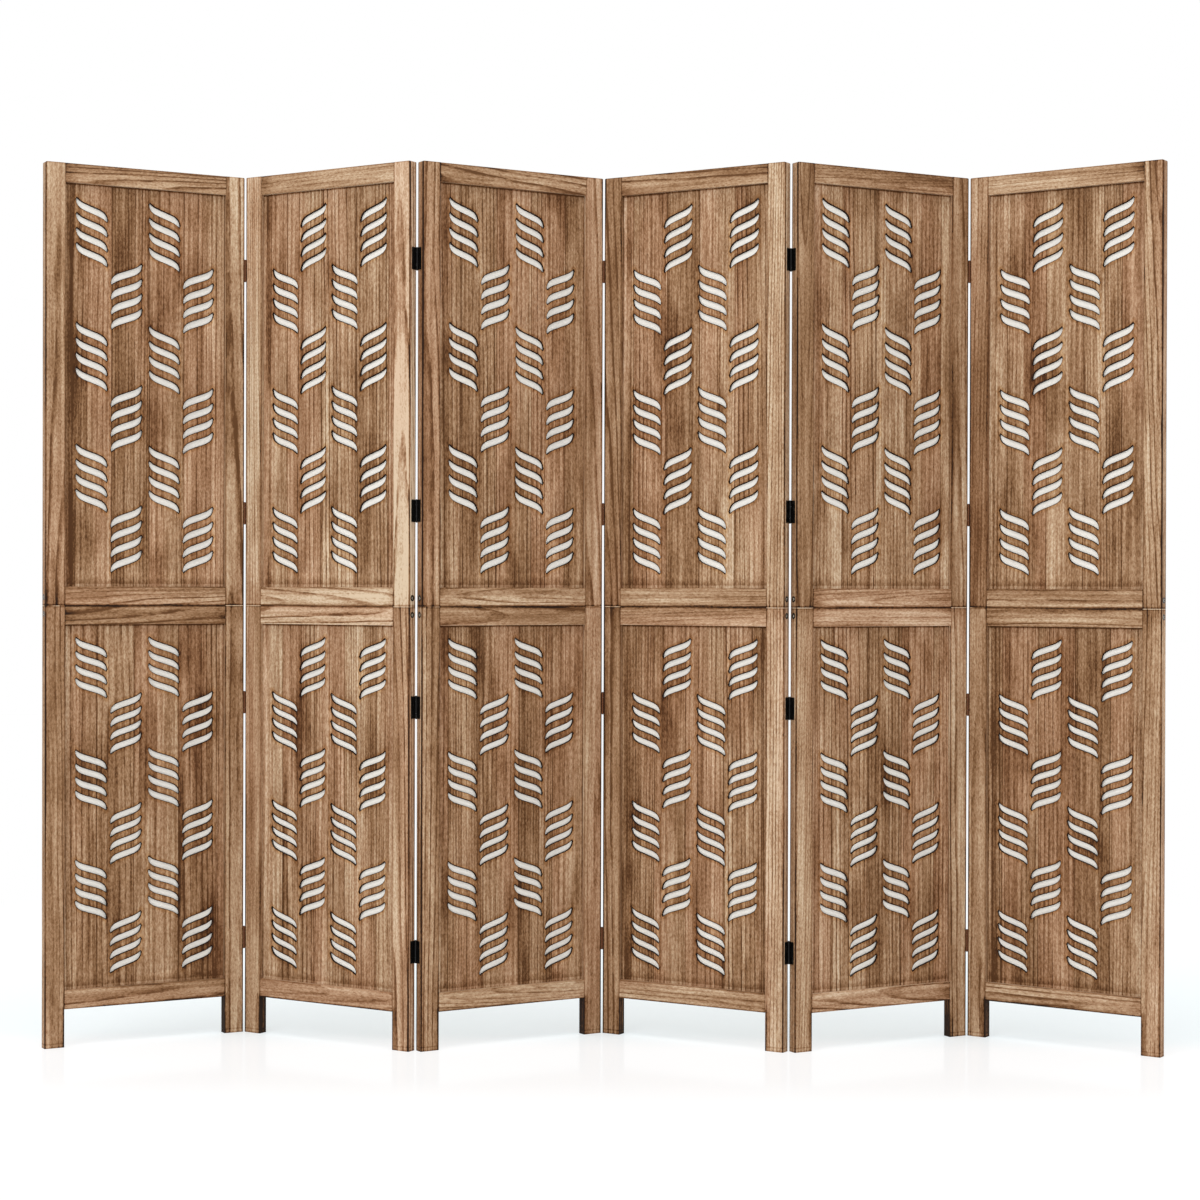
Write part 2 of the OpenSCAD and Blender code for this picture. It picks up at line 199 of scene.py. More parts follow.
class Wire:
    """One output socket of a material's nodes; arithmetic on it adds Math nodes."""

    def __init__(self, tree, socket=None):
        self.tree = tree
        self.socket = socket

    def node(self, kind, settings=None, inputs=None, output=0):
        """Adds a node: its settings first, then the values or wires of its sockets."""
        made = self.tree.nodes.new(kind)
        for name, value in (settings or {}).items():
            if name == "stops":
                self._set_stops(made.color_ramp, value)
            else:
                setattr(made, name, value)
        for name, value in (inputs or {}).items():
            if isinstance(value, Wire):
                self.tree.links.new(value.socket, made.inputs[name])
            else:
                made.inputs[name].default_value = value
        return Wire(self.tree, made.outputs[output] if made.outputs else None)

    @staticmethod
    def _set_stops(ramp, stops):
        while len(ramp.elements) < len(stops):
            ramp.elements.new(1)
        for element, (place, value) in zip(ramp.elements, stops):
            element.position = place
            element.color = value if isinstance(value, tuple) else (value, value, value, 1)

    def out(self, name):
        """Another output of the node that this wire comes from."""
        return Wire(self.tree, self.socket.node.outputs[name])

    def math(self, operation, *values):
        inputs = dict(enumerate((self, *values)))
        return self.node("ShaderNodeMath", {"operation": operation}, inputs)

    def __add__(self, other):
        return self.math("ADD", other)

    __radd__ = __add__

    def __sub__(self, other):
        return self.math("SUBTRACT", other)

    def __rsub__(self, other):
        return self.node("ShaderNodeMath", {"operation": "SUBTRACT"}, {0: other, 1: self})

    def __mul__(self, other):
        return self.math("MULTIPLY", other)

    __rmul__ = __mul__

    def __truediv__(self, other):
        return self.math("DIVIDE", other)

    def __pow__(self, other):
        return self.math("POWER", other)

    def __abs__(self):
        return self.math("ABSOLUTE")

    def __gt__(self, other):
        return self.math("GREATER_THAN", other)

    def fade(self, low, high, start=0.0, end=1.0):
        """Goes smoothly from start to end as the value goes from low to high."""
        return self.node(
            "ShaderNodeMapRange",
            {"interpolation_type": "SMOOTHSTEP"},
            {"Value": self, "From Min": low, "From Max": high, "To Min": start, "To Max": end},
        )

    def stretch(self, *factors):
        """A vector with each part multiplied by its own factor."""
        return self.node(
            "ShaderNodeVectorMath", {"operation": "MULTIPLY"}, {0: self, 1: factors}
        )

    def shift(self, other):
        return self.node("ShaderNodeVectorMath", {"operation": "ADD"}, {0: self, 1: other})

    def noise(self, scale, detail=2.0, roughness=0.5):
        return self.node(
            "ShaderNodeTexNoise",
            {"noise_dimensions": "3D"},
            {"Vector": self, "Scale": scale, "Detail": detail, "Roughness": roughness},
        )

    def luck(self):
        """Random colour that is the same wherever this value is the same."""
        return self.node(
            "ShaderNodeTexWhiteNoise", {"noise_dimensions": "1D"}, {"W": self}, "Color"
        )

    def parts(self, kind="ShaderNodeSeparateColor"):
        """The three numbers of a colour, or of a vector with the kind XYZ."""
        split = self.node(kind, None, {0: self})
        return split, split.out(1), split.out(2)

    def dye(self, under, dye):
        """The colour under, dyed where this mask is 1."""
        settings = {"data_type": "RGBA", "blend_type": "MULTIPLY"}
        return self.node("ShaderNodeMix", settings, {0: self, 6: under, 7: dye}, 2)

    def tint(self, under, over):
        """Colour under where this mask is 0, over where it is 1."""
        return self.node("ShaderNodeMix", {"data_type": "RGBA"}, {0: self, 6: under, 7: over}, 2)


def start_material(name):
    """A new material and the wire of its object coordinates."""
    material = bpy.data.materials.new(name)
    material.use_nodes = True
    tree = material.node_tree
    tree.nodes.clear()
    return material, Wire(tree).node("ShaderNodeTexCoord", output="Object")


def finish_material(place, inputs, bump, depth, strength):
    """Ends a material in a Principled shader with a bump of the given depth."""
    normal = place.node(
        "ShaderNodeBump", None, {"Strength": strength, "Distance": depth, "Height": bump}
    )
    shader = place.node("ShaderNodeBsdfPrincipled", None, {**inputs, "Normal": normal})
    place.node("ShaderNodeOutputMaterial", None, {"Surface": shader})


def give(piece, material):
    """The piece gets this material alone."""
    piece.data.materials.clear()
    piece.data.materials.append(material)
    for face in piece.data.polygons:
        face.material_index = 0


# ---- Where the leaves stand ----


def leaf_places(sizes):
    """Each leaf's matrix, from its lower left front corner, worked out as in the CAD source."""
    corner = Vector((0, 0, 0))
    corners = []
    eased_corners = []
    for leaf, degrees in zip(LEAVES, LEAF_TURNS):
        turn = Matrix.Rotation(math.radians(degrees), 3, "Z")
        along, across = turn.col[0], turn.col[1]
        if leaf > 1:
            corner = pin + sizes.pin_gap * along - pin_depth * across
        corners.append((corner, turn))
        for x in (sizes.eased, sizes.leaf_width - sizes.eased):
            for y in (sizes.eased, sizes.leaf_depth - sizes.eased):
                eased_corners.append(corner + x * along + y * across)
        front = leaf % 2 == 1
        pin_depth = -sizes.pin_offset if front else sizes.leaf_depth + sizes.pin_offset
        pin = corner + (sizes.leaf_width + sizes.pin_gap) * along + pin_depth * across
    middle = Vector((0, 0, 0))
    for axis in (0, 1):
        values = [point[axis] for point in eased_corners]
        middle[axis] = (min(values) + max(values)) / 2
    return {
        leaf: Matrix.Translation(corner - middle) @ turn.to_4x4()
        for leaf, (corner, turn) in zip(LEAVES, corners)
    }


def opening(sizes, section):
    """Height of a section's opening and of its middle above the floor."""
    if section == "upper":
        low, high = sizes.joint_height, sizes.total_height
    else:
        low, high = sizes.foot_height, sizes.joint_height
    low += sizes.rail_height
    high -= sizes.rail_height
    return high - low, (low + high) / 2


def slit_layout(context, section):
    """Pitch and flattening of a section's slits, and the middle height of each row of groups.

    All heights are from the middle of the section's opening.
    """
    sizes, boards = context.scene.screen_frame, context.scene.screen_boards
    margin = boards.upper_margin if section == "upper" else boards.lower_margin
    height, middle = opening(sizes, section)
    band = height - 2 * margin
    upper_band = opening(sizes, "upper")[0] - 2 * boards.upper_margin
    flatter = band / upper_band
    row = band / boards.rows
    pitch = (row - boards.row_gap * flatter) / boards.group
    rows = [
        band / 2 - (number + 0.5) * row - ROW_DROPS[number] * flatter
        for number in range(boards.rows)
    ]
    return {"pitch": pitch, "flatter": flatter, "middle": middle, "rows": rows}


# ---- Wood ----

# Tones of the wood, from the darkest to the palest piece
DEEP, DARK, BROWN, WARM, MIDDLE = 0.40, 0.45, 0.50, 0.55, 0.60
PALE, CREAM, IVORY = 0.70, 0.75, 0.84

# For each leaf: stiles lower left, lower right, upper left, upper right
STILE_TONES = (
    (DARK, WARM, WARM, MIDDLE),
    (WARM, WARM, MIDDLE, IVORY),
    (WARM, BROWN, BROWN, MIDDLE),
    (DARK, PALE, DEEP, MIDDLE),
    (WARM, MIDDLE, DEEP, BROWN),
    (BROWN, MIDDLE, DARK, BROWN),
)
# For each leaf: rails from the lowest to the topmost
RAIL_TONES = (
    (BROWN, DEEP, WARM, MIDDLE),
    (WARM, PALE, CREAM, MIDDLE),
    (WARM, BROWN, WARM, DARK),
    (BROWN, BROWN, WARM, DARK),
    (PALE, WARM, PALE, BROWN),
    (WARM, DEEP, BROWN, WARM),
)
# For each leaf: lower board, upper board
BOARD_TONES = (
    (DARK, DARK), (WARM, BROWN), (DARK, DARK), (DARK, DARK), (DARK, DARK), (DEEP, DARK),
)

# For each leaf: how strongly the lower and the upper board are scorched along their left side
SCORCHED_SIDES = ((0.4, 1.0), (0.2, 1.0), (0.4, 1.0), (0.3, 0.7), (0.5, 0.5), (0.6, 0.4))


def leaf_coordinates(place, matrix):
    """Object coordinates turned into the leaf's own: across, through and up the leaf."""
    back = matrix.inverted()
    turned = place.node(
        "ShaderNodeMapping",
        {"vector_type": "POINT"},
        {"Vector": place, "Location": back.to_translation(), "Rotation": back.to_euler()},
    )
    return turned.parts(XYZ)


def wood_colour(finishes, value):
    """The scorched wood's colour for a tone from 0, char, to 1, pale sapwood."""
    names = ("char", "umber", "brown", "honey", "tan", "straw", "cream")
    tones = (0.0, 0.15, 0.3, 0.46, 0.61, 0.76, 0.95)
    stops = [(tone, tuple(getattr(finishes, name))) for tone, name in zip(tones, names)]
    return value.node("ShaderNodeValToRGB", {"stops": stops}, {0: value}, "Color")


def grain(across, depth, along, seed, figure):
    """Growth rings and fibres of one piece of wood.

    across, depth and along are its coordinates from its middle, and seed tells pieces apart.
    figure holds how far the pith lies to the side and deep in the log, how it leans, wanders and
    ripples, the gap of the rings, and how strongly each kind of mark shows.
    Returns the change of tone, the height of the relief, and shifted coordinates for noise.
    """
    luck = seed.luck()
    first, second, third = luck.parts()
    body = across.node("ShaderNodeCombineXYZ", None, {0: across, 1: depth, 2: along})
    place = body.shift(luck.stretch(3, 3, 3))

    wander = place.stretch(1, 1, 0.14).noise(9, 2)
    ripple = place.stretch(1, 1, 0.22).noise(45, 1)
    side = across + (first - 0.5) * figure["side"] + (along * (second - 0.5)) * figure["lean"]
    deep = depth + figure["deep"] * (0.35 + second) + (along * (third - 0.5)) * figure["lean"]
    radius = (side * side + deep * deep) ** 0.5
    radius = radius + (wander - 0.5) * figure["wander"] + (ripple - 0.5) * figure["ripple"]
    rings = radius / (figure["gap"] * (0.7 + 0.6 * third))
    ring_luck = (rings.math("FLOOR") + seed * 31.7).luck().parts()[0]
    late = rings.node(
        "ShaderNodeValToRGB",
        {"stops": ((0.0, 0.7), (0.06, 0.0), (0.64, 0.0), (0.82, 0.6), (0.92, 1.0), (1.0, 0.9))},
        {0: rings.math("FRACT")},
    )
    broken = place.stretch(1, 1, 0.22).noise(130, 2).fade(0.34, 0.6, 0.4, 1)
    steep = (abs(side) / radius).fade(0, 0.4, 0.4, 1)
    line = late * (0.3 + 0.7 * ring_luck) * broken * (0.5 + second) * steep

    broad = place.stretch(1, 1, 0.04).noise(26, 2) - 0.5
    cloud = place.stretch(1, 1, 0.3).noise(24, 3, 0.6) - 0.5
    streak = place.stretch(1, 1, 0.025).noise(150, 2, 0.6).fade(0.3, 0.7) - 0.5
    fibre = place.stretch(1, 1, 0.45).noise(340, 3, 0.65).fade(0.34, 0.66) - 0.5
    fleck = place.stretch(1, 1, 0.3).noise(480, 1).fade(0.58, 0.68)

    change = broad * figure["broad"] + cloud * figure["cloud"] + streak * figure["streak"]
    change = change + fibre * figure["speckle"] + 0.13
    change = change - line * figure["contrast"] - fleck * figure["fleck"]
    height = fibre * 0.5 + line * 0.7 - fleck * 0.8
    return change, height, place


STILE_FIGURE = {
    "side": 0.1, "deep": 0.05, "lean": 0.04, "wander": 0.016, "ripple": 0.0018, "gap": 6.2 * MM,
    "broad": 0.78, "cloud": 0.5, "streak": 0.2, "speckle": 0.18, "fleck": 0.14, "contrast": 0.6,
}
RAIL_FIGURE = {**STILE_FIGURE, "side": 0.05, "lean": 0.09, "deep": 0.045, "ripple": 0.0025}
BOARD_FIGURE = {
    "side": 0.32, "deep": 0.012, "lean": 0.03, "wander": 0.012, "ripple": 0.002, "gap": 8.4 * MM,
    "broad": 0.58, "cloud": 0.47, "streak": 0.26, "speckle": 0.22, "fleck": 0.1, "contrast": 0.46,
}


def finish_wood(context, value, height, grained, toast=None):
    """Ends a wooden material: colour from the tone, dull scorched parts, relief of the grain."""
    finishes = context.scene.screen_finishes
    rosy = grained.stretch(1, 1, 0.1).noise(8, 1).fade(0.5, 0.65)
    colour_now = rosy.dye(wood_colour(finishes, value), tuple(finishes.blush))
    if toast:
        colour_now = toast.dye(colour_now, tuple(finishes.toast))
    inputs = {
        "Base Color": colour_now,
        "Roughness": value.fade(0.1, 0.8, 0.8, 0.6),
        "Specular IOR Level": 0.18,
    }
    finish_material(value, inputs, height, 0.35 * MM, 0.6)


# How far in from its faces the darkening of an arris starts, and where it is full
ARRIS_START, ARRIS_FULL = 3.6 * MM, 0.9 * MM


def eased_edge(offset, depth, half_width, half_depth):
    """1 on a member's eased arrises and 0 away from them."""
    sideways = abs(offset).fade(half_width - ARRIS_START, half_width - ARRIS_FULL)
    return sideways * abs(depth).fade(half_depth - ARRIS_START, half_depth - ARRIS_FULL)


def stile_material(context, leaf, matrix):
    """Scorched wood of a leaf's four stiles, each its own piece."""
    sizes = context.scene.screen_frame
    material, place = start_material(f"scorched_stile_{leaf}")
    x, y, z = leaf_coordinates(place, matrix)
    right = x > sizes.leaf_width / 2
    above = z > sizes.joint_height
    half = sizes.stile_width / 2
    offset = x - half - right * (sizes.leaf_width - sizes.stile_width)
    depth = y - sizes.leaf_depth / 2
    seed = right + above * 2 + leaf * 4.37

    low_left, low_right, up_left, up_right = STILE_TONES[leaf - 1]
    tone = low_left + right * (low_right - low_left)
    upper = up_left + right * (up_right - up_left)
    tone = tone + above * (upper - tone)
    change, height, grained = grain(offset, depth, z - sizes.joint_height, seed, STILE_FIGURE)

    soot = grained.stretch(1, 1, 0.3).noise(14, 3)
    edge = eased_edge(offset, depth, half, sizes.leaf_depth / 2)
    from_joint = abs(z - sizes.joint_height)
    burnt_end = from_joint.fade(0.4 * MM, 5 * MM, 1, 0)
    smoky_end = from_joint.fade(0, 50 * MM, 1, 0) * soot.fade(0.4, 0.62)
    top_end = z.fade(sizes.total_height - 3 * MM, sizes.total_height)
    foot_line = abs(z - 8 * MM).fade(0.3 * MM, 2 * MM, 1, 0)
    foot_end = z.fade(0.5 * MM, 4 * MM, 1, 0)
    outward = offset * (right * 2 - 1)
    near_face = abs(depth).fade(sizes.leaf_depth / 2 - 2.5 * MM, sizes.leaf_depth / 2 - 1 * MM)
    outer_line = outward.fade(half - 4 * MM, half - 1 * MM) * near_face
    # Painted shade: the feet's inner faces and the wood beside them, under the bottom rail, are
    # darkened
    foot = z.fade(sizes.foot_height - 1 * MM, sizes.foot_height + 12 * MM, 1, 0)
    inner_side = outward.fade(0.6 * MM - half, 0.2 * MM - half) * foot
    inner_foot_shade = outward.fade(-half, 14 * MM - half, 1, 0) * foot * soot.fade(0.3, 0.52)
    burn_and_painted_light = edge * 0.25 * soot.fade(0.25, 0.6, 0.4, 1) + burnt_end * 0.36 + smoky_end * 0.2
    burn_and_painted_light = burn_and_painted_light + outer_line * soot.fade(0.3, 0.55, 0.2, 0.4) + top_end * 0.2
    burn_and_painted_light = burn_and_painted_light + foot_line * 0.16 + foot_end * 0.2 + inner_side * 0.32 + inner_foot_shade * 0.38
    # Painted highlight: a thin pale line along the top arris of the lower section, just under the
    # joint
    joint_highlight = abs(z - sizes.joint_height + 0.7 * MM).fade(0.4 * MM, 1 * MM, 1, 0)
    joint_highlight = joint_highlight * soot.fade(0.4, 0.5) * 0.9
    value = (tone + change - soot.fade(0.6, 0.8) * 0.2).math("MAXIMUM", 0.2) - burn_and_painted_light + joint_highlight
    finish_wood(context, value, height, grained)
    return material


def rail_material(context, leaf, matrix):
    """Scorched wood of a leaf's four rails, with the grain lying down."""
    sizes = context.scene.screen_frame
    material, place = start_material(f"scorched_rail_{leaf}")
    x, y, z = leaf_coordinates(place, matrix)
    half = sizes.rail_height / 2
    lowest = sizes.foot_height + half
    starts = (
        (sizes.joint_height * 0.6, sizes.joint_height - half),
        (sizes.joint_height, sizes.joint_height + half),
        (sizes.joint_height * 1.4, sizes.total_height - half),
    )
    tones = RAIL_TONES[leaf - 1]
    tone, middle, seed = tones[0], lowest, leaf * 7.13 + 50
    last, over_board = lowest, 0
    for index, (limit, centre) in enumerate(starts):
        above = z > limit
        middle = above * (centre - last) + middle
        tone = above * (tones[index + 1] - tones[index]) + tone
        seed = above + seed
        over_board = abs(above - over_board)
        last = centre
    lowest_rail = 1 - (z > starts[0][0])
    offset = z - middle
    depth = y - sizes.leaf_depth / 2
    along = x - sizes.leaf_width / 2
    change, height, grained = grain(offset, depth, along, seed, RAIL_FIGURE)

    soot = grained.stretch(1, 1, 0.35).noise(14, 3)
    edge = eased_edge(offset, depth, half, sizes.leaf_depth / 2)
    from_stile = sizes.leaf_width / 2 - sizes.stile_width - abs(along)
    burnt_end = from_stile.fade(0.2 * MM, 1.6 * MM, 1, 0)
    smoky_end = from_stile.fade(0, 34 * MM, 1, 0) * soot.fade(0.45, 0.65)
    joint = abs(z - sizes.joint_height).fade(0.4 * MM, 5 * MM, 1, 0)
    # Painted highlight: a pale line along the lower front arris of the rails that stand over a
    # board
    arris_highlight = offset.fade(0.8 * MM - half, 2.6 * MM - half, 0.2, 0) * over_board
    # Painted shade: the lowest rail is darkened along its bottom edge, far more on even leaves
    rail_foot_shade = (offset + soot * 3 * MM).fade(1.5 * MM - half, 6 * MM - half, 1, 0) * lowest_rail
    # These sums hold the burnt marks together with the painted shade and painted highlight of the
    # stiles and rails.
    burn_and_painted_light = edge * 0.2 * soot.fade(0.25, 0.6, 0.4, 1) + burnt_end * 0.24 + smoky_end * 0.2
    burn_and_painted_light = burn_and_painted_light + joint * 0.36 + rail_foot_shade * (0.12 if leaf % 2 else 0.42) - arris_highlight
    value = (tone + change - soot.fade(0.6, 0.8) * 0.25).math("MAXIMUM", 0.2) - burn_and_painted_light
    finish_wood(context, value, height, grained)
    return material


def slit_distance(context, section, hand, x, z):
    """Distance to the nearest slit's edge in metres, and 1 above that slit, else 0."""
    boards = context.scene.screen_boards
    layout = slit_layout(context, section)
    pitch, flatter, rows = layout["pitch"], layout["flatter"], layout["rows"]
    across = (x - context.scene.screen_frame.leaf_width / 2) * hand
    up = z - layout["middle"]

    inner, outer = boards.inner_column, boards.outer_column
    right = across > 0
    in_outer = abs(across) > (inner + outer) / 2
    rising = 1 - abs(right - in_outer)
    column = (right * 2 - 1) * (in_outer * (outer - inner) + inner)
    half_length = boards.slit_length / 2
    t = (across - column) / half_length * (1 - rising * 2)
    inside = t.math("MINIMUM", 1).math("MAXIMUM", -1)
    fourth = inside * inside * inside * inside
    line = inside * (-flatter / 2) * (boards.slit_fall + fourth * boards.slit_hook)

    # Falling groups stand in the even rows, rising ones in the odd rows
    off_line = up - line
    middle = rising * (rows[1] - rows[0]) + rows[0]
    for number in range(2, boards.rows, 2):
        step = rising * (rows[number + 1] - rows[number]) + rows[number]
        limit = (step + middle) / 2
        middle = middle + (limit - off_line > 0) * (step - middle)
    off_line = off_line - middle
    last = boards.group - 1
    number = (off_line / pitch + boards.group / 2).math("FLOOR")
    number = number.math("MINIMUM", last).math("MAXIMUM", 0)
    half_width = (1 - abs(inside) ** TIP_POWER).math("MAXIMUM", 0) ** 0.5
    off_middle = off_line - (number - last / 2) * pitch
    beyond = abs(off_middle) - half_width * (flatter * boards.slit_width / 2)
    slope = boards.slit_fall + fourth * HOOK_POWER * boards.slit_hook
    slope = slope * (flatter / 2 / half_length)
    beyond = (beyond / (slope * slope + 1) ** 0.5).math("MAXIMUM", 0)
    past_tip = (abs(t) - 1).math("MAXIMUM", 0) * half_length
    return (beyond * beyond + past_tip * past_tip) ** 0.5, off_middle > 0


def board_material(context, leaf, section, matrix):
    """Scorched board of glued staves, burnt around its slits and along its left side, with painted
    shade and a painted highlight along its border.
    """
    sizes, boards = context.scene.screen_frame, context.scene.screen_boards
    material, place = start_material(f"scorched_board_{leaf}_{section}")
    x, y, z = leaf_coordinates(place, matrix)
    hand = 1 if leaf % 2 else -1
    height, middle = opening(sizes, section)
    upper = section == "upper"

    phase = x / boards.stave_width + (leaf * 2.31 + upper * 5.7)
    staves, uneven = {"voronoi_dimensions": "1D"}, {"W": phase, "Scale": 1.0, "Randomness": 0.35}
    stave = x.node("ShaderNodeTexVoronoi", staves, uneven, "W")
    edge = {**staves, "feature": "DISTANCE_TO_EDGE"}
    seam = x.node("ShaderNodeTexVoronoi", edge, uneven)
    offset = (phase - stave) * boards.stave_width
    seed = stave * 3.3
    stave_luck = (seed + 11.1).luck().parts()
    depth = y - (sizes.front_lip + boards.board_depth / 2)
    change, relief, grained = grain(offset, depth, z - middle, seed, BOARD_FIGURE)

    leaf_place = x.node("ShaderNodeCombineXYZ", None, {0: x, 1: leaf * 2.0, 2: z})
    patch = leaf_place.stretch(1, 1, 0.4).noise(11, 2)
    soot = leaf_place.stretch(1, 1, 0.5).noise(38, 3)
    from_left = x - sizes.stile_width
    from_right = sizes.leaf_width - sizes.stile_width - x
    from_top = (middle + height / 2) - z
    from_bottom = z - (middle - height / 2)
    ragged = (soot - 0.5) * 14 * MM
    streak = abs(from_left + ragged * 0.35 - 14.5 * MM).fade(2 * MM, 9 * MM, 1, 0)
    streak = streak * patch.fade(0.3, 0.5) * SCORCHED_SIDES[leaf - 1][int(upper)]
    # Painted shade: a thin dark line where the board meets the stiles
    stile_shadow_line = from_left.math("MINIMUM", from_right).fade(0.4 * MM, 1.8 * MM, 0.22, 0)
    pale_side = from_left.fade(4.5 * MM, 7.5 * MM, 0.1, 0)
    # Painted shade: a ragged dark line under the rail above the board
    rail_shadow_line = (from_top + ragged * 0.15).fade(1.5 * MM, 4.5 * MM, 0.4, 0)
    # Painted highlight: a pale band along the board's bottom, just above the rail
    foot_highlight = (from_bottom + ragged * 0.3).fade(4 * MM, 6.5 * MM, 0.2, 0)
    # A darker band a little above the board's bottom
    low_dark_band = (from_bottom + ragged).fade(6 * MM, 22 * MM, 0.16, 0)
    border = streak * 0.25 + stile_shadow_line - pale_side + rail_shadow_line - foot_highlight + low_dark_band

    gap, above = slit_distance(context, section, hand, x, z)
    # Char ring around each slit, partly the burn of the cut and partly painted shade: it is made
    # wider along each slit's upper edge
    char_and_shade_reach = gap - (0.45 * MM) * above + (soot - 0.5) * 0.7 * MM
    char_and_shade = char_and_shade_reach.fade(0.5 * MM, 1.5 * MM, 1, 0)
    toasted = gap.fade(2 * MM, 9 * MM, 1, 0)

    tone = BOARD_TONES[leaf - 1][int(upper)]
    value = tone + change + (stave_luck[0] - 0.5) * 0.16 - patch.fade(0.5, 0.7) * 0.2
    value = value - seam.fade(0.005, 0.02, 0.28, 0) - border
    value = value.math("MAXIMUM", 0.13) - toasted * soot.fade(0.3, 0.7, 0.05, 0.12)
    value = value - char_and_shade * 0.75
    finish_wood(context, value, relief - char_and_shade * 0.8, grained, toasted)
    return material


# ---- Metal and cloth ----

# A cam lock's distance from the joint of the sections, and the radius of its bore
CAM_RISE, CAM_RADIUS = 16 * MM, 6.1 * MM
# Fasteners further than this from the joint are the hinges' screws
HINGE_REACH = 60 * MM


def metal_material(name, tone, bare, metallic, roughness, wear, marks=()):
    """Painted or plated metal with fine mottling, small scuffs and worn points.

    Each mark is a function that makes a mask from the place, and the colour it lays there.
    """
    material, place = start_material(name)
    mottle = place.noise(900, 3, 0.6)
    scuff = place.stretch(1, 1, 0.25).noise(420, 2).fade(0.6, 0.72)
    worn = scuff * mottle.fade(0.45, 0.6) * wear
    shade = [channel * 0.78 for channel in tone[:3]] + [1]
    colour_now = worn.tint(mottle.fade(0.3, 0.7).tint(shade, tuple(tone)), tuple(bare))
    for mask_of, mark in marks:
        colour_now = mask_of(place).tint(colour_now, tuple(mark))
    inputs = {
        "Base Color": colour_now,
        "Metallic": worn * (1 - metallic) + metallic,
        "Roughness": roughness + (mottle - 0.5) * 0.25,
    }
    finish_material(place, inputs, mottle - worn * 0.5, 0.05 * MM, 0.5)
    return material


def knuckle_marks(finishes, matrix):
    """Painted reflection: the wood's brown on the knuckles that stand in front of a leaf."""

    def in_front(place):
        return leaf_coordinates(place, matrix)[1].fade(-0.6 * MM, -0.1 * MM, 1, 0)

    return [(in_front, finishes.knuckle_reflection)]


def cam_marks(sizes, finishes, matrix):
    """Painted shade in the cam locks' bore and a painted highlight at their middle, at the joint;
    black on the hinges' screws.
    """

    def radius(place):
        _, y, z = leaf_coordinates(place, matrix)
        sideways = y - sizes.leaf_depth / 2
        upward = abs(z - sizes.joint_height) - CAM_RISE
        return (sideways * sideways + upward * upward) ** 0.5

    def in_recess_shade(place):
        return radius(place).fade(CAM_RADIUS, CAM_RADIUS + 0.3 * MM, 1, 0)

    def in_highlight(place):
        return radius(place).fade(1.8 * MM, 2.8 * MM, 1, 0)

    def in_hinge(place):
        from_joint = abs(leaf_coordinates(place, matrix)[2] - sizes.joint_height)
        return from_joint.fade(HINGE_REACH, HINGE_REACH + 2 * MM)

    return (in_recess_shade, finishes.recess_shade), (in_highlight, finishes.shine), (in_hinge, finishes.black)


def cloth_material(context):
    """Plain-woven white cotton, its threads following the sheet's own flat map."""
    boards, finishes = context.scene.screen_boards, context.scene.screen_finishes
    material, place = start_material("white_cotton")
    flat = place.node("ShaderNodeUVMap", {"uv_map": "threads"})
    u, v, _ = flat.parts(XYZ)
    uneven = flat.noise(60, 2)
    turn = math.pi / boards.thread
    warp = abs(((u + uneven * 0.8 * MM) * turn).math("SINE"))
    weft = abs(((v + uneven * 0.8 * MM) * turn).math("SINE"))
    over = ((u * turn).math("SINE") * (v * turn).math("SINE")).fade(-0.3, 0.3)
    weave = over * warp + (1 - over) * weft
    slub = flat.stretch(1, 12, 1).noise(240, 2) + flat.stretch(12, 1, 1).noise(240, 2)
    mask = (weave.fade(0.05, 0.6) * 0.55 + slub.fade(0.7, 1.3) * 0.45).math("MINIMUM", 1)
    # Painted light: the front faces keep the brightened white, while the back faces are tinted
    # greyer
    behind = place.node("ShaderNodeAttribute", {"attribute_name": "behind"}, output="Fac")
    white = mask.tint(tuple(finishes.cloth_shade), tuple(finishes.cloth))
    inputs = {
        "Base Color": behind.dye(white, tuple(finishes.cloth_back)),
        "Roughness": 0.92 - mask * 0.08,
        "Sheen Weight": 0.15,
        "Specular IOR Level": 0.2,
    }
    finish_material(place, inputs, weave + slub * 0.3, 0.08 * MM, 0.4)
    return material


# ---- Making pieces by hand ----


def switch(mode):
    bpy.ops.object.mode_set(mode=mode)


def clear_selection():
    if bpy.context.mode != "OBJECT":
        switch("OBJECT")
    bpy.ops.object.select_all(action="DESELECT")


def take(piece):
    """Makes this piece alone selected and active."""
    clear_selection()
    piece.select_set(True)
    bpy.context.view_layer.objects.active = piece


def settle(piece):
    """Writes the piece's place, turn and scale into its mesh."""
    take(piece)
    bpy.ops.object.transform_apply(location=True, rotation=True, scale=True)


def just_made(name):
    """The piece that was just added, under this name."""
    made = bpy.context.object
    made.name = made.data.name = name
    return made


def copy_of(piece, name):
    """A copy with its own mesh."""
    take(piece)
    bpy.ops.object.duplicate(linked=False)
    return just_made(name)


def apply_modifier(piece, kind, **settings):
    """Adds a modifier with these settings and applies it."""
    take(piece)
    bpy.ops.object.modifier_add(type=kind)
    modifier = piece.modifiers[-1]
    for name, value in settings.items():
        setattr(modifier, name, value)
    bpy.ops.object.modifier_apply(modifier=modifier.name)


def repeat(piece, count, offset):
    steps = {"use_relative_offset": False, "use_constant_offset": True}
    apply_modifier(piece, "ARRAY", count=count, constant_offset_displace=offset, **steps)


